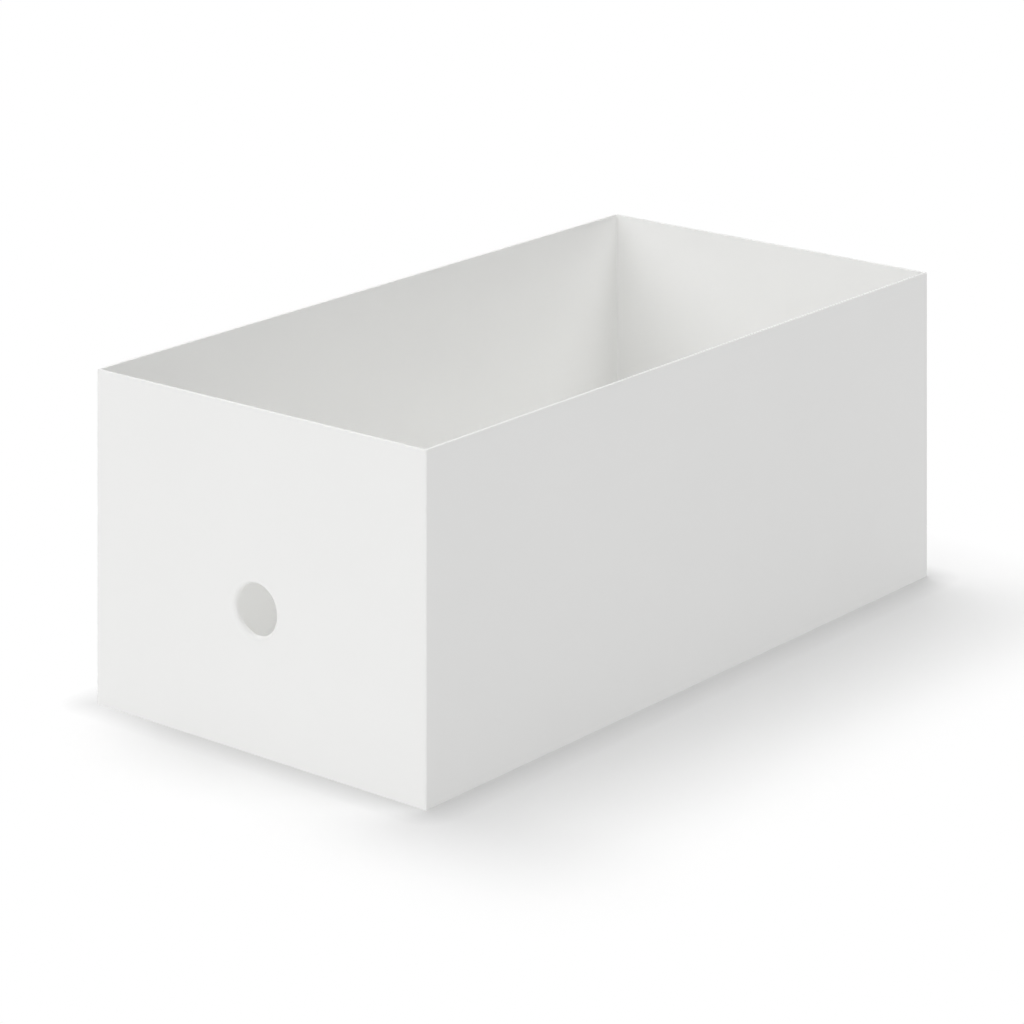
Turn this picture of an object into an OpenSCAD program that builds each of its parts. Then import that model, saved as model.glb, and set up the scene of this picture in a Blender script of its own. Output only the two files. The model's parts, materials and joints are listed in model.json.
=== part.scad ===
// Open file storage box, low and wide, with a finger hole in one short wall.
// The frame: millimetres, +Z up, +Y from the front wall to the back wall,
// with the origin on the table under the middle of the box.

/* [Box] */
// Outside width, along the two short walls
box_w = 150; // [100:1:250]
// Outside depth, along the two long walls
box_d = 320; // [200:1:400]
// Outside height, from the table to the rim
box_h = 120; // [90:1:250]

/* [Walls and floor] */
// Wall thickness at the rim
rim_t = 1.2; // [0.8:0.1:3]
// Draft of the inner faces in degrees, which lets the moulding leave its core
draft = 0.9; // [0:0.05:1.5]
// Floor thickness
floor_t = 2.4; // [1.5:0.1:5]
// Radius of the four upright outer edges
corner_r = 0.8; // [0.2:0.1:3]

/* [Finger hole] */
// Diameter of the hole in the front wall
hole_d = 18.4; // [10:0.1:40]
// Height of the hole's centre above the table
hole_z = 50; // [25:1:90]

/* [Colour] */
// Colour of the plastic
plastic = "whitesmoke"; // [whitesmoke, white, gainsboro]

/* [Hidden] */
$fn = 64;
// How far a cutting tool runs past the faces that it cuts
overrun = 1;
// Height of the walls above the floor's upper face
inner_h = box_h - floor_t;
// Wall thickness at the floor, where the draft has added all that it adds
root_t = rim_t + inner_h * tan(draft);

// Plan of a wall whose outer face lies on Y = 0: a 45 degree mitre at each end
// meets the neighbouring wall, and the outer edges are rounded.
module wall_plan(length) {
    half = length / 2;
    intersection() {
        polygon([
            [-half, 0],
            [half, 0],
            [half - root_t, root_t],
            [-half + root_t, root_t],
        ]);
        union() {
            translate([-half + corner_r, 0]) square([length - 2 * corner_r, root_t]);
            translate([-half, corner_r]) square([length, root_t]);
            for (side = [-1, 1])
                translate([side * (half - corner_r), corner_r]) circle(r = corner_r);
        }
    }
}

// Upright section of a wall: the outer face is upright, the inner face is upright
// beside the floor panel and drafted from there to the rim.
module wall_section() {
    polygon([
        [0, 0],
        [root_t, 0],
        [root_t, floor_t],
        [rim_t, box_h],
        [0, box_h],
    ]);
}

// One wall along X, with its outer face on Y = 0 and its inner face towards +Y
module wall_panel(length) {
    intersection() {
        linear_extrude(box_h) wall_plan(length);
        translate([-length / 2, 0, 0])
            rotate([90, 0, 90]) linear_extrude(length) wall_section();
    }
}

// A wall turned about the box's upright middle line, with its outer face at the given distance
module placed_wall(turn, distance, length) {
    rotate(turn) translate([0, -distance, 0]) wall_panel(length);
}

// Drill for the finger hole, square to the front wall's outer face
module finger_hole() {
    translate([0, -box_d / 2 - overrun, hole_z])
        rotate([-90, 0, 0]) cylinder(d = hole_d, h = root_t + 2 * overrun);
}

module front_wall() {
    color(plastic) difference() {
        placed_wall(0, box_d / 2, box_w);
        finger_hole();
    }
}

module back_wall() {
    color(plastic) placed_wall(180, box_d / 2, box_w);
}

module left_wall() {
    color(plastic) placed_wall(-90, box_w / 2, box_d);
}

module right_wall() {
    color(plastic) placed_wall(90, box_w / 2, box_d);
}

// Floor between the feet of the four walls, with its underside on the table
module floor_panel() {
    floor_w = box_w - 2 * root_t;
    floor_d = box_d - 2 * root_t;
    color(plastic) translate([-floor_w / 2, -floor_d / 2, 0]) cube([floor_w, floor_d, floor_t]);
}

front_wall();
back_wall();
left_wall();
right_wall();
floor_panel();
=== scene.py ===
"""A low, open file storage box in matte moulded plastic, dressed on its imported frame.

Lengths are metres in the frame's own axes: +Z is up, +Y runs from the front wall, which has the
finger hole, to the back wall, and the origin is on the table under the middle of the box.
"""
import json
import math

import bpy
import numpy as np
from bpy.props import FloatProperty, FloatVectorProperty, PointerProperty
from mathutils import Matrix, Vector


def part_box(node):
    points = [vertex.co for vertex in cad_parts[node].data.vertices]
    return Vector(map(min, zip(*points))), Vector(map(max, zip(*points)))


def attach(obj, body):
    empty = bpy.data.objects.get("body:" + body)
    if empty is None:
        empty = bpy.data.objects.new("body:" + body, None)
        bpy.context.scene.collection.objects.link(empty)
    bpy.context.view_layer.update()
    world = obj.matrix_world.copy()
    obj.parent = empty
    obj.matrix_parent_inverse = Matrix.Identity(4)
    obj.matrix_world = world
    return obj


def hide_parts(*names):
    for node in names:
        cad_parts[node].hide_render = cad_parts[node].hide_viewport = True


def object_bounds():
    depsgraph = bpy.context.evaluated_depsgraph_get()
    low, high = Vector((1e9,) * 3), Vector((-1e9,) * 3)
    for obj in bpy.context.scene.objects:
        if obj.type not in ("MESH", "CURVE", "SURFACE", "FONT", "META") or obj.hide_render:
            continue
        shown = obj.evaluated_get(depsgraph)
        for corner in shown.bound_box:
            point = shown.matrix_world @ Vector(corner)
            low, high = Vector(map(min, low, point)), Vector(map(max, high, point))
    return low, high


bl_info = {
    "name": "File Storage Box",
    "version": (1, 0, 0),
    "blender": (4, 5, 0),
    "location": "View3D > Sidebar > File Box",
    "description": "Builds the walls and the floor of a moulded file storage box, and a stage to show it on",
    "category": "Object",
}

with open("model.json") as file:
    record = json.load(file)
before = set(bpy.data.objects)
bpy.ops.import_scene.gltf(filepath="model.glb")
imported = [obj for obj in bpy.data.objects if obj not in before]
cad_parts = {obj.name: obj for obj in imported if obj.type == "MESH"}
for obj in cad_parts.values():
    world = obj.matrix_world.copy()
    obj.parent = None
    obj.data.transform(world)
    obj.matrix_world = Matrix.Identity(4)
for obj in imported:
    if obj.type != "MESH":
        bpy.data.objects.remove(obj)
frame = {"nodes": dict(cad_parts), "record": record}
CAD_BOX = [list(corner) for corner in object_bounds()]

MM = 0.001
QUARTER = math.pi / 2
EIGHTH = math.pi / 4
# Steps in the arc of an edge, and in half of an upright corner
EDGE_STEPS = 6
CORNER_STEPS = 6
# Divisions of each side of the square window in which the finger hole is cut
WINDOW_DIVISIONS = 24
# Half the window's side, as a multiple of the hole's radius
WINDOW_REACH = 1.6
# Rings between the window and the hole's edge
WINDOW_RINGS = 3
# Points that lie this close to the highest one count as the rim
LEVEL_TOLERANCE = 0.001 * MM


def node_points(node):
    """All points of a CAD node's mesh, one a row."""
    mesh = frame["nodes"][node].data
    flat = np.empty(3 * len(mesh.vertices), dtype=np.float32)
    mesh.vertices.foreach_get("co", flat)
    return flat.reshape(-1, 3)


def measured_sizes():
    """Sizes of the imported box, each read off the node or the mount that sets it."""
    low, high = np.array(CAD_BOX)
    front = node_points("front_wall")
    rim = front[front[:, 2] > front[:, 2].max() - LEVEL_TOLERANCE]
    hole = next(m for m in frame["record"]["mounts"] if m["name"] == "finger_hole")
    # The mitre meets the corner's arc half way round, so it lies (1 - cos 45) of the radius inside.
    corner = (high[0] - front[:, 0].max()) / (1 - math.cos(EIGHTH))
    sizes = {
        "width": high[0] - low[0],
        "depth": high[1] - low[1],
        "height": high[2] - low[2],
        "rim_wall": np.ptp(rim[:, 1]),
        "foot_wall": np.ptp(front[:, 1]),
        "floor_thickness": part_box("floor_panel")[1].z - low[2],
        "corner_radius": corner,
        "hole_radius": hole["dims"]["r_mm"] * MM,
        "hole_height": hole["pos_m"][2],
    }
    return {name: float(value) for name, value in sizes.items()}


MEASURED = measured_sizes()


def length_property(name, description, default):
    """A length in metres that the sidebar shows with its unit."""
    return FloatProperty(
        name=name, description=description, default=default, min=0.0, precision=5,
        subtype="DISTANCE", unit="LENGTH",
    )


def place_property(name, description, default):
    """A point in metres."""
    return FloatVectorProperty(
        name=name, description=description, default=default, size=3, precision=5,
        subtype="TRANSLATION", unit="LENGTH",
    )


def colour_property(name, description, default):
    """A linear colour."""
    return FloatVectorProperty(
        name=name, description=description, default=default, min=0.0, max=1.0, size=3, subtype="COLOR",
    )


def share_property(name, description, default):
    """A number from nothing to all."""
    return FloatProperty(
        name=name, description=description, default=default, min=0.0, max=1.0, subtype="FACTOR",
    )


def level_property(name, description, default):
    """A plain light level, where 1 lights a surface as brightly as its colour is written."""
    return FloatProperty(name=name, description=description, default=default, min=0.0, max=4.0)


class FileBoxSizes(bpy.types.PropertyGroup):
    """Sizes of the box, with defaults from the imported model, and the roundings of its edges."""

    width: length_property("Width", "Outside width along the short walls", MEASURED["width"])
    depth: length_property("Depth", "Outside depth along the long walls", MEASURED["depth"])
    height: length_property("Height", "Height from the table to the rim", MEASURED["height"])
    rim_wall: length_property("Rim wall", "Wall thickness at the rim", MEASURED["rim_wall"])
    foot_wall: length_property("Foot wall", "Wall thickness at the floor", MEASURED["foot_wall"])
    floor_thickness: length_property(
        "Floor", "Thickness of the floor panel", MEASURED["floor_thickness"])
    corner_radius: length_property(
        "Corner", "Radius of the upright outer corners", MEASURED["corner_radius"])
    hole_radius: length_property("Hole radius", "Radius of the finger hole", MEASURED["hole_radius"])
    hole_height: length_property(
        "Hole height", "Height of the finger hole's centre", MEASURED["hole_height"])
    rim_edge: length_property("Rim edge", "Rounding of the rim's two edges", 0.35 * MM)
    base_edge: length_property("Base edge", "Rounding of the edge under the walls", 0.1 * MM)
    hole_mouth: length_property("Hole mouth", "Rounding of the finger hole's outer edge", 1.4 * MM)
    hole_edge: length_property("Hole edge", "Rounding of the finger hole's inner edge", 0.15 * MM)
    inner_corner: length_property("Inner corner", "Radius of the upright inner corners", 1.0 * MM)
    floor_fillet: length_property("Floor fillet", "Radius between the floor and the walls", 0.5 * MM)


class FileBoxFinish(bpy.types.PropertyGroup):
    """The look of the matte plastic."""

    colour: colour_property("Colour", "Pale warm grey-white of the plastic", (0.89, 0.89, 0.881))
    mottle: share_property("Mottle", "How much paler and darker the plastic is in soft clouds", 0.012)
    mottle_size: length_property("Mottle size", "Distance between soft clouds", 45 * MM)
    roughness: share_property("Roughness", "Mean roughness of the moulded texture", 0.8)
    roughness_spread: share_property("Roughness spread", "How much the roughness varies", 0.08)
    gloss: share_property("Gloss", "Strength of the reflections, where a half is smooth plastic", 0.3)
    grain_size: length_property("Grain size", "Distance between grains of the moulded texture", 0.6 * MM)
    grain_depth: length_property("Grain depth", "Depth of the moulded texture", 0.006 * MM)


class FileBoxStage(bpy.types.PropertyGroup):
    """Light on the box, and the white around it."""

    sky: level_property("Sky", "Even light from the whole sky", 0.06)
    front: level_property("Front", "Soft lamp in front", 0.335)
    fill: level_property("Fill", "Low soft lamp in front, to the right", 0.139)
    right: level_property("Right", "Soft lamp above, to the right", 0.303)
    left: level_property("Left", "Soft lamp in front, to the left", 0.15)
    back: level_property("Back", "Soft lamp behind", 0.142)
    top: level_property("Top", "Soft lamp high on the left", 0.402)
    floor_seen: colour_property("Floor seen", "Floor colour that the camera sees", (1.0, 1.0, 1.0))
    floor_bounce: colour_property("Floor bounce", "Floor colour that lights the box", (0.87, 0.87, 0.87))
    floor_even: share_property(
        "Floor even", "How much of the floor's light on the box is even, without the box's own shadow", 0.5)
    # Painted shade: the floor is seen darker close to the box's foot, a contact shadow painted into its
    # colour, fading out over the reach below
    painted_foot_shade: share_property("Foot shade", "How much darker the floor is seen at the box's foot", 0.17)
    painted_shade_reach: length_property("Foot reach", "Distance from the box at which that shade ends", 13 * MM)
    white_reach: length_property(
        "White reach", "Distance over which the shadow fades, until the floor is seen all white", 62 * MM)
    shadow_shift: place_property(
        "Shadow shift", "Middle of the part of the floor that keeps its shadow", (52 * MM, -8 * MM, 0))


class Wire:
    """An output socket of a node tree. Arithmetic on wires adds Math nodes to the tree."""

    def __init__(self, tree, socket=None):
        self.tree = tree
        self.socket = socket

    def node(self, kind, settings, inputs, output=0):
        """Adds a node: its settings are set first, then its inputs get values or wires."""
        made = self.tree.nodes.new(kind)
        for name, value in settings.items():
            setattr(made, name, value)
        for name, value in inputs.items():
            if isinstance(value, Wire):
                self.tree.links.new(value.socket, made.inputs[name])
            else:
                made.inputs[name].default_value = value
        return Wire(self.tree, made.outputs[output] if made.outputs else None)

    def math(self, operation, first, second):
        """One Math node."""
        return self.node("ShaderNodeMath", {"operation": operation}, {0: first, 1: second})

    def __add__(self, other):
        return self.math("ADD", self, other)

    def __radd__(self, other):
        return self.math("ADD", other, self)

    def __sub__(self, other):
        return self.math("SUBTRACT", self, other)

    def __rsub__(self, other):
        return self.math("SUBTRACT", other, self)

    def __mul__(self, other):
        return self.math("MULTIPLY", self, other)

    def __rmul__(self, other):
        return self.math("MULTIPLY", other, self)

    def __or__(self, other):
        return self.math("MAXIMUM", self, other)


def empty_tree(owner):
    """Clears an owner's node tree and returns a wire with which to fill it."""
    owner.use_nodes = True
    owner.node_tree.nodes.clear()
    return Wire(owner.node_tree)


def opaque(colour, brightness=1.0):
    """A colour with full alpha, made lighter or darker."""
    return (*(channel * brightness for channel in colour), 1.0)


def blended(tree, share, first, second):
    """A colour between two, with the given share of the second."""
    return tree.node("ShaderNodeMix", {"data_type": "RGBA"}, {0: share, 6: first, 7: second}, 2)


# Refractive index of the plastic
PLASTIC_IOR = 1.49
# Layers of finer noise in the soft clouds, and in the grain
CLOUD_DETAIL = 3.0
GRAIN_DETAIL = 2.0
# Grains across a patch of even roughness
PATCH_GRAINS = 8
# Middle of a noise, which runs from 0 to 1
NOISE_MIDDLE = 0.5


def moulded_plastic(finish):
    """Matte moulded plastic, shared by all pieces of the box.

    Soft clouds mix a darker and a paler tone of the colour. A fine noise dents the surface with the
    texture that the mould leaves, and a coarser one changes the roughness around its mean.
    """
    material = bpy.data.materials.get("moulded_plastic_finish")
    if material is not None:
        return material
    material = bpy.data.materials.new("moulded_plastic_finish")
    tree = empty_tree(material)
    place = tree.node("ShaderNodeTexCoord", {}, {}, "Object")

    def noise(distance, detail):
        return tree.node(
            "ShaderNodeTexNoise", {"noise_dimensions": "3D"},
            {"Vector": place, "Scale": 1 / distance, "Detail": detail}, "Fac",
        )

    clouds = noise(finish.mottle_size, CLOUD_DETAIL)
    grain = noise(finish.grain_size, GRAIN_DETAIL)
    patches = noise(PATCH_GRAINS * finish.grain_size, GRAIN_DETAIL)
    darker = opaque(finish.colour, 1 - finish.mottle)
    paler = opaque(finish.colour, 1 + finish.mottle)
    roughness = finish.roughness + finish.roughness_spread * (patches - NOISE_MIDDLE)
    dents = tree.node("ShaderNodeBump", {}, {"Distance": finish.grain_depth, "Height": grain})
    plastic = tree.node(
        "ShaderNodeBsdfPrincipled", {},
        {
            "Base Color": blended(tree, clouds, darker, paler),
            "Roughness": roughness,
            "IOR": PLASTIC_IOR,
            "Specular IOR Level": finish.gloss,
            "Normal": dents,
        },
    )
    tree.node("ShaderNodeOutputMaterial", {}, {"Surface": plastic})
    return material


class Skin:
    """The points, faces and corner normals of one piece, gathered patch by patch."""

    def __init__(self):
        self.points = np.empty((0, 3))
        self.faces = []
        self.normals = []

    def add_points(self, points):
        """Adds an array of points and returns their numbers in an array of the same shape."""
        first = len(self.points)
        self.points = np.concatenate([self.points, points.reshape(-1, 3)])
        return np.arange(first, len(self.points)).reshape(points.shape[:-1])

    def add_quads(self, numbers, normals):
        """Adds faces with four corners: numbers is (faces, 4) and normals is (faces, 4, 3)."""
        self.faces.extend(numbers.tolist())
        self.normals.append(normals.reshape(-1, 3))

    def add_flat(self, numbers, normal):
        """Adds one flat face with any number of corners."""
        self.faces.append(numbers.tolist())
        self.normals.append(np.tile(normal, (len(numbers), 1)))

    def piece(self, name, node, material):
        """Makes the mesh object, which rides on the only body and stands for one CAD node.

        Points that no face uses, such as those of a grid under a hole, are left out.
        """
        used, corners = np.unique(np.concatenate(self.faces), return_inverse=True)
        ends = np.cumsum([len(face) for face in self.faces])[:-1]
        faces = [face.tolist() for face in np.split(corners, ends)]
        mesh = bpy.data.meshes.new(name)
        mesh.from_pydata(self.points[used].tolist(), [], faces, shade_flat=False)
        mesh.normals_split_custom_set(np.concatenate(self.normals).tolist())
        mesh.materials.append(material)
        made = bpy.data.objects.new(name, mesh)
        bpy.context.scene.collection.objects.link(made)
        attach(made, "root")
        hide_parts(node)
        return made


def grid_quads(numbers):
    """Corner numbers of the faces of a grid, (rows - 1) * (columns - 1) of them, four each."""
    corners = [numbers[:-1, :-1], numbers[:-1, 1:], numbers[1:, 1:], numbers[1:, :-1]]
    return np.stack(corners, axis=-1)


def line(points, normal):
    """A straight stretch of an outline, with one normal."""
    points = np.array(points, dtype=float)
    return points, np.broadcast_to(np.array(normal, dtype=float), points.shape)


def arc(centre, radius, start, stop):
    """A round stretch: centre + radius * (cos a, sin a), with a from start to stop."""
    angle = np.linspace(start, stop, EDGE_STEPS + 1)[:, None]
    normal = np.concatenate([np.cos(angle), np.sin(angle)], axis=1)
    return np.array(centre) + radius * normal, normal


def joined(stretches):
    """Joins stretches end to start: points, and the normals where each side starts and ends."""
    points = np.concatenate([places[:-1] for places, _ in stretches])
    starts = np.concatenate([normals[:-1] for _, normals in stretches])
    ends = np.concatenate([normals[1:] for _, normals in stretches])
    return points, starts, ends


def inner_lean(sizes):
    """Angle by which the inner faces lean outwards, from the wall's two thicknesses."""
    return math.atan2(sizes.foot_wall - sizes.rim_wall, sizes.height - sizes.floor_thickness)


def inner_depth(sizes, height):
    """Depth of a wall's inner face behind its outer face: thinnest at the rim, upright below the floor."""
    drafted = sizes.rim_wall + (sizes.height - height) * math.tan(inner_lean(sizes))
    return np.minimum(drafted, sizes.foot_wall)


def wall_section(sizes, rows):
    """The closed outline of a wall in (depth, height), from its outer base edge over the rim.

    The outer face is upright, both rim edges are arcs, and the inner arc is tangent to the leaning inner
    face: its centre lies radius / cos(lean) in front of that face. Rows are heights at which both
    faces get a point.
    """
    lean = inner_lean(sizes)
    edge = sizes.rim_edge
    base = sizes.base_edge
    under_rim = sizes.height - edge
    inner_centre = inner_depth(sizes, under_rim) - edge / math.cos(lean)
    outer_heights = np.array([base, *rows, under_rim])
    inner_heights = np.array([under_rim + edge * math.sin(lean), *rows[::-1], sizes.floor_thickness])
    return joined([
        line(np.stack([0 * outer_heights, outer_heights], axis=1), (-1, 0)),
        arc((edge, under_rim), edge, math.pi, QUARTER),
        line([(edge, sizes.height), (inner_centre, sizes.height)], (0, 1)),
        arc((inner_centre, under_rim), edge, QUARTER, lean),
        line(np.stack([inner_depth(sizes, inner_heights), inner_heights], axis=1),
             (math.cos(lean), math.sin(lean))),
        line([(sizes.foot_wall, sizes.floor_thickness), (sizes.foot_wall, 0)], (1, 0)),
        line([(sizes.foot_wall, 0), (base, 0)], (0, -1)),
        arc((base, base), base, -QUARTER, -math.pi),
    ])


def corner_bends(sizes, section):
    """Radius of the upright corner at each point of the section.

    Outer points keep to the outer corner's centre, so the radius shrinks with depth. Inner points
    keep to the inner corner's centre, so it grows with the distance behind the inner face.
    """
    depth, height = section.T
    outer = np.maximum(sizes.corner_radius - depth, 0)
    inner = sizes.inner_corner + inner_depth(sizes, height) - depth
    return np.where(depth < sizes.rim_wall / 2, outer, inner)


def carried(normals, turns):
    """Section normals (depth, height) carried along a wall whose inward direction turns."""
    along = -normals[:, :1] * np.sin(turns)
    inwards = normals[:, :1] * np.cos(turns)
    upwards = np.broadcast_to(normals[:, 1:], along.shape)
    return np.stack([along, inwards, upwards], axis=-1)


class WallGrid:
    """A wall section carried along a wall of one length, from mitre to mitre.

    In the wall's own axes x runs along it, y is the depth behind its outer face and z is up. At each end
    the path turns by an eighth of a circle about (end - depth - bend, depth + bend), so it stops on
    the 45 degree plane where the next wall starts. Columns are places along x between the ends.
    """

    def __init__(self, sizes, length, rows=(), columns=()):
        section, starts, ends = wall_section(sizes, rows)
        depth, height = section[:, :1], section[:, 1:]
        bend = corner_bends(sizes, section)[:, None]
        turn = np.linspace(0, EIGHTH, CORNER_STEPS + 1)
        x_end = length / 2 - depth - bend + bend * np.sin(turn)
        y_end = depth + bend - bend * np.cos(turn)
        columns = np.asarray(columns, dtype=float)
        x_between = np.broadcast_to(columns, (len(section), len(columns)))
        y_between = np.broadcast_to(depth, x_between.shape)
        x = np.concatenate([-x_end[:, ::-1], x_between, x_end], axis=1)
        y = np.concatenate([y_end[:, ::-1], y_between, y_end], axis=1)
        turns = np.concatenate([-turn[::-1], 0 * columns, turn])
        self.points = np.stack([x, y, np.broadcast_to(height, x.shape)], axis=-1)
        start = carried(starts, turns)
        end = carried(ends, turns)
        self.corner_normals = np.stack([start[:, :-1], start[:, 1:], end[:, 1:], end[:, :-1]], axis=2)

    def add_to(self, skin, cut=None):
        """Adds the carried faces that aren't cut, and the flat mitre at each end."""
        numbers = skin.add_points(self.points)
        quads = grid_quads(np.concatenate([numbers, numbers[:1]]))
        keep = np.ones(quads.shape[:2], dtype=bool) if cut is None else ~cut
        skin.add_quads(quads[keep], self.corner_normals[keep])
        slant = math.cos(EIGHTH)
        skin.add_flat(numbers[:, 0], (-slant, slant, 0))
        skin.add_flat(numbers[::-1, -1], (slant, slant, 0))
        return numbers


def placed(skin, distance, quarter_turns):
    """Moves a finished wall's outer face to a distance from the middle, and turns it about the middle."""
    cosine = (1, 0, -1, 0)[quarter_turns]
    sine = (0, 1, 0, -1)[quarter_turns]
    turn = np.array([[cosine, sine, 0], [-sine, cosine, 0], [0, 0, 1]])
    skin.points = (skin.points - (0, distance, 0)) @ turn
    skin.normals = [normals @ turn for normals in skin.normals]


def square_ring(numbers, rows, columns):
    """Numbers of the points round a square window, counter-clockwise seen from outside the wall."""
    bottom = numbers[rows[0], columns[:-1]]
    right = numbers[rows[:-1], columns[-1]]
    top = numbers[rows[-1], columns[:0:-1]]
    left = numbers[rows[:0:-1], columns[0]]
    return np.concatenate([bottom, right, top, left])


def hole_rings(square, radius, edge):
    """Rings from a face's square window to the bore: their radii, and their depth and tilt under the face.

    In the flat the radius goes over from the square's own to the circle where the rounding starts. The
    rounding is a quarter arc: radius + edge * (1 - sin tilt), at a depth of edge * (1 - cos tilt).
    """
    share = np.linspace(0, 1, WINDOW_RINGS + 1)[:, None]
    sweep = np.linspace(0, QUARTER, EDGE_STEPS + 1)[1:, None]
    flat = (1 - share) * square + share * (radius + edge)
    rounding = np.broadcast_to(radius + edge * (1 - np.sin(sweep)), (EDGE_STEPS, len(square)))
    tilt = np.concatenate([0 * share, sweep])
    return np.concatenate([flat, rounding]), edge * (1 - np.cos(tilt)), tilt


def hole_patch(sizes, window):
    """Points and normals of the rings from the outer window through the finger hole to the inner window.

    A ring runs round the hole's axis. The outer face's rings come first and the inner face's follow in
    reverse, at depths counted back from the leaning inner face. The bore between them is straight.
    """
    lean = inner_lean(sizes)
    across, upwards = window[:, 0], window[:, 1] - sizes.hole_height
    angle = np.arctan2(upwards, across)
    square = np.hypot(across, upwards)
    outer_radii, outer_depth, outer_tilt = hole_rings(square, sizes.hole_radius, sizes.hole_mouth)
    inner = hole_rings(square, sizes.hole_radius, sizes.hole_edge)
    inner_radii, inner_rise, inner_tilt = (rings[::-1] for rings in inner)
    radii = np.concatenate([outer_radii, inner_radii])
    height = sizes.hole_height + radii * np.sin(angle)
    depth = np.concatenate([
        np.broadcast_to(outer_depth, outer_radii.shape),
        inner_depth(sizes, height[len(outer_radii):]) - inner_rise,
    ])
    points = np.stack([radii * np.cos(angle), depth, height], axis=-1)
    inwards = np.sin(np.concatenate([outer_tilt, inner_tilt]))
    facing = np.concatenate([-np.cos(outer_tilt), np.cos(inner_tilt)])
    normals = np.stack([
        -inwards * np.cos(angle),
        np.broadcast_to(facing, radii.shape),
        -inwards * np.sin(angle),
    ], axis=-1)
    normals[-WINDOW_RINGS - 1:] = (0, math.cos(lean), math.sin(lean))
    return points, normals


def front_wall_skin(sizes):
    """The short wall with the finger hole: a carried section with a window in each face for the hole."""
    reach = WINDOW_REACH * sizes.hole_radius
    steps = np.linspace(-reach, reach, WINDOW_DIVISIONS + 1)
    rows = sizes.hole_height + steps
    grid = WallGrid(sizes, sizes.width, rows, steps)
    count = len(steps)
    columns = CORNER_STEPS + 1 + np.arange(count)
    outer_rows = 1 + np.arange(count)
    # Points of the section before its inner face: the outer face, two arcs and the rim between them
    first_inner = (count + 1) + EDGE_STEPS + 1 + EDGE_STEPS
    inner_rows = first_inner + count - np.arange(count)
    cut = np.zeros((grid.points.shape[0], grid.points.shape[1] - 1), dtype=bool)
    cut[np.ix_(outer_rows[:-1], columns[:-1])] = True
    cut[np.ix_(inner_rows[1:], columns[:-1])] = True
    skin = Skin()
    numbers = grid.add_to(skin, cut)
    outer_ring = square_ring(numbers, outer_rows, columns)
    inner_ring = square_ring(numbers, inner_rows, columns)
    points, normals = hole_patch(sizes, skin.points[outer_ring][:, [0, 2]])
    between = skin.add_points(points[1:-1])
    rings = np.concatenate([outer_ring[None], between, inner_ring[None]])
    closed = np.concatenate([rings, rings[:, :1]], axis=1)
    normals = np.concatenate([normals, normals[:, :1]], axis=1)
    quads = grid_quads(closed).reshape(-1, 4)
    corners = [normals[:-1, :-1], normals[:-1, 1:], normals[1:, 1:], normals[1:, :-1]]
    skin.add_quads(quads, np.stack(corners, axis=2).reshape(-1, 4, 3))
    placed(skin, sizes.depth / 2, 0)
    return skin


def plain_wall_skin(sizes, length, distance, quarter_turns):
    """A wall without a hole, turned about the middle of the box."""
    skin = Skin()
    WallGrid(sizes, length).add_to(skin)
    placed(skin, distance, quarter_turns)
    return skin


def floor_skin(sizes):
    """The floor between the feet of the walls, with a fillet that rises to them all round.

    A profile of (inset, height) is carried round a rectangle with rounded corners, whose radius
    shrinks with the inset: the side goes up past the floor's upper face, and the fillet's arc
    comes down to it. Two flat faces close the top and the underside.
    """
    half_width = sizes.width / 2 - sizes.foot_wall
    half_depth = sizes.depth / 2 - sizes.foot_wall
    fillet = sizes.floor_fillet
    top = sizes.floor_thickness
    bowl, bowl_normal = arc((fillet, top + fillet), fillet, math.pi, 3 * QUARTER)
    profile = np.concatenate([[(0, 0), (0, top)], bowl])
    starts = np.concatenate([[(-1, 0), (-1, 0)], -bowl_normal[:-1]])
    ends = np.concatenate([[(-1, 0), (-1, 0)], -bowl_normal[1:]])
    bend = sizes.inner_corner
    turn = np.concatenate([q * QUARTER + np.linspace(0, QUARTER, CORNER_STEPS + 1) for q in range(4)])
    side_x = np.repeat((1, -1, -1, 1), CORNER_STEPS + 1)
    side_y = np.repeat((1, 1, -1, -1), CORNER_STEPS + 1)
    inset, height = profile[:, :1], profile[:, 1:]
    x = side_x * (half_width - bend) + (bend - inset) * np.cos(turn)
    y = side_y * (half_depth - bend) + (bend - inset) * np.sin(turn)
    points = np.stack([x, y, np.broadcast_to(height, x.shape)], axis=-1)
    turns = np.append(turn, turn[0])

    def faced(normals):
        return np.stack([
            -normals[:, :1] * np.cos(turns),
            -normals[:, :1] * np.sin(turns),
            np.broadcast_to(normals[:, 1:], (len(normals), len(turns))),
        ], axis=-1)

    start, end = faced(starts), faced(ends)
    skin = Skin()
    numbers = skin.add_points(points)
    quads = grid_quads(np.concatenate([numbers, numbers[:, :1]], axis=1)).reshape(-1, 4)
    corners = np.stack([start[:, :-1], start[:, 1:], end[:, 1:], end[:, :-1]], axis=2)
    skin.add_quads(quads, corners.reshape(-1, 4, 3))
    skin.add_flat(numbers[-1], (0, 0, 1))
    skin.add_flat(numbers[0, ::-1], (0, 0, -1))
    return skin


# Half the side of the stage's floor
FLOOR_REACH = 12.0
# How far the stage's floor lies under the box, so that the two never coincide
FLOOR_DROP = 0.05 * MM
# Lamps: stage property, and the lamp's bearing counter-clockwise from +X and elevation, in degrees
LAMPS = (
    ("front", 266, 19),
    ("fill", 321, 13),
    ("right", 14, 47),
    ("left", 228, 38),
    ("back", 110, 31),
    ("top", 155, 65),
)
# Angle that each lamp's disc fills
LAMP_SPREAD = math.radians(40)
# Bounces between matte surfaces, which light the inside of a pale box
MATTE_BOUNCES = 12


def seen_directly(tree):
    """1 where the camera, a reflection or a view through glass meets the surface, and 0 for its light."""
    kinds = ("Is Camera Ray", "Is Glossy Ray", "Is Transmission Ray")
    rays = [tree.node("ShaderNodeLightPath", {}, {}, kind) for kind in kinds]
    return rays[0] | rays[1] | rays[2]


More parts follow.
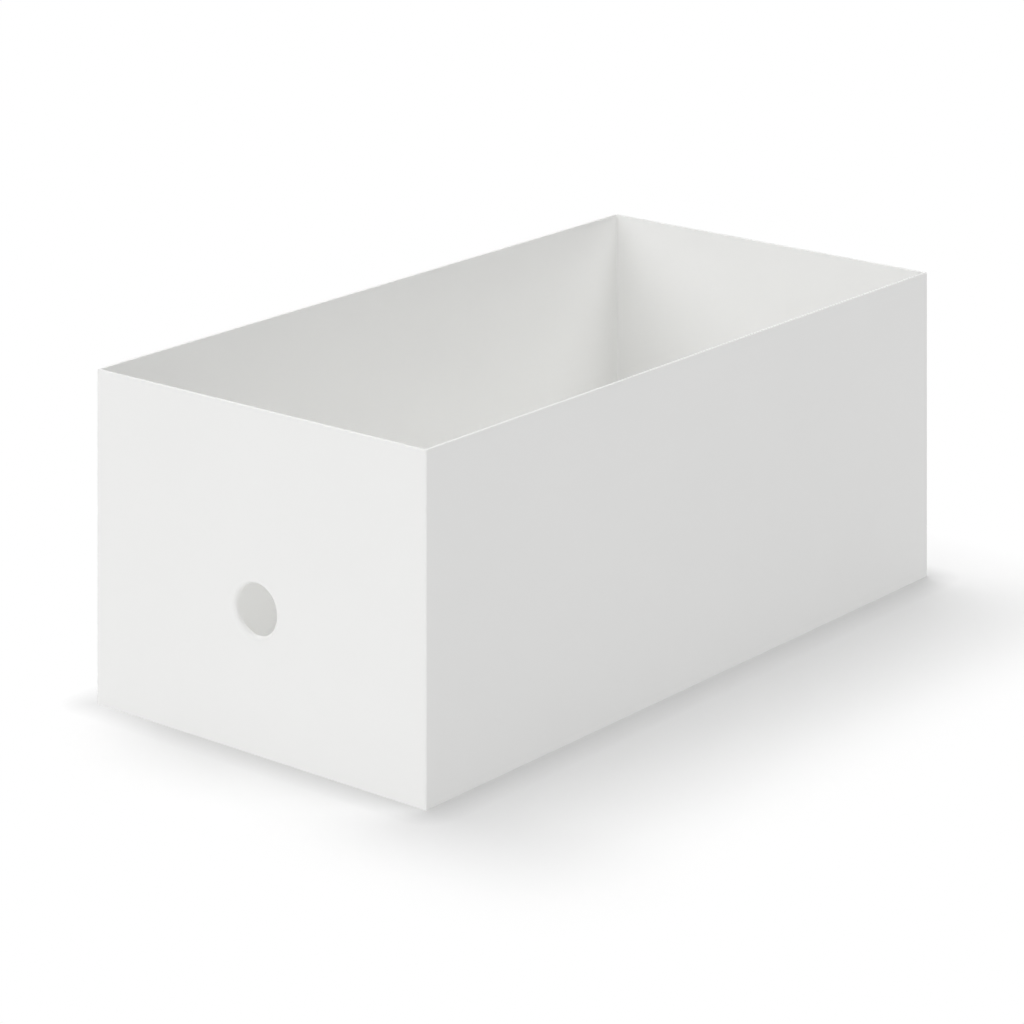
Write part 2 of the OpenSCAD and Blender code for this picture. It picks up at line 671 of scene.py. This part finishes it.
def away_from_box(tree, sizes, shift):
    """Distance of a floor point from the box's foot, as if the box were moved by a shift.

    It is the length of |place - shift| - (width / 2, depth / 2, drop), in which each part counts only
    where it is positive.
    """
    def vector(operation, first, second=(0, 0, 0), output=0):
        return tree.node(
            "ShaderNodeVectorMath", {"operation": operation}, {0: first, 1: second}, output)

    place = tree.node("ShaderNodeTexCoord", {}, {}, "Object")
    foot = (sizes.width / 2, sizes.depth / 2, FLOOR_DROP)
    folded = vector("ABSOLUTE", vector("SUBTRACT", place, shift))
    outside = vector("MAXIMUM", vector("SUBTRACT", folded, foot))
    return vector("LENGTH", outside, output="Value")


def floor_paper(stage, sizes):
    """Pale paper that keeps the box's shadow and is seen all white farther away.

    It has one colour for the camera and reflections, and one for the light it gives back. The first has a
    painted shade: it is darker close to the box's foot, a contact shadow painted into the colour. The
    paper's own glow makes it white farther away where it is seen, and evens out a part of the light it
    gives back.
    """
    material = bpy.data.materials.new("stage_floor_paper")
    tree = empty_tree(material)
    seen = seen_directly(tree)
    # Painted shade: the seen colour is darker at the box's foot and goes over to the floor's own colour at
    # the reach
    past_painted_shade = tree.node(
        "ShaderNodeMapRange", {},
        {"Value": away_from_box(tree, sizes, (0, 0, 0)), "From Max": stage.painted_shade_reach},
    )
    painted_shade_colour = opaque(stage.floor_seen, 1 - stage.painted_foot_shade)
    floor_with_painted_shade = blended(tree, past_painted_shade, painted_shade_colour, opaque(stage.floor_seen))
    colour = blended(tree, seen, opaque(stage.floor_bounce), floor_with_painted_shade)
    fade = tree.node(
        "ShaderNodeMapRange", {"interpolation_type": "SMOOTHSTEP"},
        {"Value": away_from_box(tree, sizes, stage.shadow_shift), "From Max": stage.white_reach},
    )
    paper = tree.node("ShaderNodeBsdfDiffuse", {}, {"Color": colour})
    glow = tree.node("ShaderNodeEmission", {}, {"Color": colour, "Strength": 1.0})
    share = stage.floor_even + seen * (fade - stage.floor_even)
    surface = tree.node("ShaderNodeMixShader", {}, {0: share, 1: paper, 2: glow})
    tree.node("ShaderNodeOutputMaterial", {}, {"Surface": surface})
    return material


def stage_floor(stage, sizes):
    """A wide level floor just under the box."""
    corners = FLOOR_REACH * np.array([(-1, -1, 0), (1, -1, 0), (1, 1, 0), (-1, 1, 0)])
    mesh = bpy.data.meshes.new("stage_floor")
    mesh.from_pydata((corners - (0, 0, FLOOR_DROP)).tolist(), [], [(0, 1, 2, 3)])
    mesh.materials.append(floor_paper(stage, sizes))
    floor = bpy.data.objects.new("stage_floor", mesh)
    bpy.context.scene.collection.objects.link(floor)


def stage_sky(stage):
    """A white sky: full white where it is seen, and the sky's own level where it lights the box."""
    world = bpy.data.worlds.new("stage_sky")
    tree = empty_tree(world)
    level = stage.sky + (1 - stage.sky) * seen_directly(tree)
    light = tree.node("ShaderNodeBackground", {}, {"Color": opaque((1, 1, 1)), "Strength": level})
    tree.node("ShaderNodeOutputWorld", {}, {"Surface": light})
    bpy.context.scene.world = world


def stage_lamps(stage):
    """Soft lamps, far away. A level of 1 gives a facing surface the light of a sky of strength 1."""
    for name, *degrees in LAMPS:
        lamp = bpy.data.lights.new(f"{name}_lamp", "SUN")
        lamp.energy = math.pi * getattr(stage, name)
        lamp.angle = LAMP_SPREAD
        made = bpy.data.objects.new(f"{name}_lamp", lamp)
        bearing, elevation = map(math.radians, degrees)
        towards = Vector((
            math.cos(bearing) * math.cos(elevation),
            math.sin(bearing) * math.cos(elevation),
            math.sin(elevation),
        ))
        made.rotation_mode = "QUATERNION"
        made.rotation_quaternion = towards.to_track_quat("Z", "Y")
        bpy.context.scene.collection.objects.link(made)


# The camera: where its lens is, and the bearing of its level lens axis, counter-clockwise from +Y
CAMERA_PLACE = Vector((0.86993, -1.1709, 0.49696))
CAMERA_BEARING = math.radians(41.5199)
SENSOR_WIDTH = 36.0
LENS = 135.601
# Middle of the picture from the lens axis, to the right and upwards, in picture widths
PICTURE_RIGHT = 0.30384
PICTURE_UP = -1.16621


def stage_camera():
    """A camera whose picture plane stands upright, so that upright edges stay parallel.

    The object looks at the picture's middle, which is off the level lens axis, while its sideways and
    upward axes stay in the upright picture plane. Its matrix is [right, up, -look, place], with
    a lens as long as the line from the lens to the picture's middle, and no lens shift.
    """
    right = Vector((math.cos(CAMERA_BEARING), math.sin(CAMERA_BEARING), 0))
    up = Vector((0, 0, 1))
    level = up.cross(right)
    look = PICTURE_RIGHT * right + PICTURE_UP * up + LENS / SENSOR_WIDTH * level
    data = bpy.data.cameras.new("camera")
    data.sensor_width = SENSOR_WIDTH
    data.lens = SENSOR_WIDTH * look.length
    camera = bpy.data.objects.new("camera", data)
    stand = bpy.data.objects.new("camera_stand", None)
    scene = bpy.context.scene
    scene.collection.objects.link(camera)
    scene.collection.objects.link(stand)
    camera.parent = stand
    columns = (right, up, -look.normalized(), CAMERA_PLACE)
    camera.matrix_parent_inverse = Matrix([column.to_4d() for column in columns]).transposed()
    scene.camera = camera


class FileBoxPieceOperator:
    """What the operators that make pieces share."""

    bl_options = {"REGISTER", "UNDO"}

    def make(self, context, name, node, skin):
        """Turns a finished skin into a piece of the box."""
        skin.piece(name, node, moulded_plastic(context.scene.file_box_finish))


class FILEBOX_OT_front_wall(FileBoxPieceOperator, bpy.types.Operator):
    """Make the short wall with the finger hole"""

    bl_idname = "file_box.front_wall"
    bl_label = "Front Wall"

    def execute(self, context):
        skin = front_wall_skin(context.scene.file_box_sizes)
        self.make(context, "front_wall_moulding", "front_wall", skin)
        return {"FINISHED"}


class FILEBOX_OT_plain_walls(FileBoxPieceOperator, bpy.types.Operator):
    """Make the back wall and the two long walls"""

    bl_idname = "file_box.plain_walls"
    bl_label = "Plain Walls"

    def execute(self, context):
        sizes = context.scene.file_box_sizes
        walls = (
            ("right_wall", sizes.depth, sizes.width / 2, 1),
            ("back_wall", sizes.width, sizes.depth / 2, 2),
            ("left_wall", sizes.depth, sizes.width / 2, 3),
        )
        for node, length, distance, quarter_turns in walls:
            skin = plain_wall_skin(sizes, length, distance, quarter_turns)
            self.make(context, f"{node}_moulding", node, skin)
        return {"FINISHED"}


class FILEBOX_OT_floor_panel(FileBoxPieceOperator, bpy.types.Operator):
    """Make the floor between the walls"""

    bl_idname = "file_box.floor_panel"
    bl_label = "Floor Panel"

    def execute(self, context):
        skin = floor_skin(context.scene.file_box_sizes)
        self.make(context, "floor_panel_moulding", "floor_panel", skin)
        return {"FINISHED"}


class FILEBOX_OT_stage(bpy.types.Operator):
    """Make the floor, the sky, the lamps and the camera"""

    bl_idname = "file_box.stage"
    bl_label = "Stage"
    bl_options = {"REGISTER", "UNDO"}

    def execute(self, context):
        stage = context.scene.file_box_stage
        stage_floor(stage, context.scene.file_box_sizes)
        stage_sky(stage)
        stage_lamps(stage)
        stage_camera()
        context.scene.view_settings.view_transform = "Standard"
        context.scene.cycles.diffuse_bounces = MATTE_BOUNCES
        return {"FINISHED"}


OPERATORS = (FILEBOX_OT_front_wall, FILEBOX_OT_plain_walls, FILEBOX_OT_floor_panel, FILEBOX_OT_stage)
GROUPS = {
    "file_box_sizes": FileBoxSizes,
    "file_box_finish": FileBoxFinish,
    "file_box_stage": FileBoxStage,
}


class FILEBOX_PT_sidebar(bpy.types.Panel):
    """Sizes, finish and stage of the box, and a button for each piece"""

    bl_idname = "FILEBOX_PT_sidebar"
    bl_label = "File Box"
    bl_space_type = "VIEW_3D"
    bl_region_type = "UI"
    bl_category = "File Box"

    def draw(self, context):
        for name, group in GROUPS.items():
            column = self.layout.column(align=True)
            for field in group.__annotations__:
                column.prop(getattr(context.scene, name), field)
        for operator in OPERATORS:
            self.layout.operator(operator.bl_idname)


def register():
    """Registers the classes, and gives the scene its groups of properties."""
    for kind in (*GROUPS.values(), *OPERATORS, FILEBOX_PT_sidebar):
        bpy.utils.register_class(kind)
    for name, group in GROUPS.items():
        setattr(bpy.types.Scene, name, PointerProperty(type=group))


def unregister():
    """Takes back what register did."""
    for name in GROUPS:
        delattr(bpy.types.Scene, name)
    for kind in (FILEBOX_PT_sidebar, *reversed(OPERATORS), *reversed(GROUPS.values())):
        bpy.utils.unregister_class(kind)


def main():
    register()
    bpy.ops.file_box.front_wall()
    bpy.ops.file_box.plain_walls()
    bpy.ops.file_box.floor_panel()
    bpy.ops.file_box.stage()


if __name__ == "__main__":
    main()
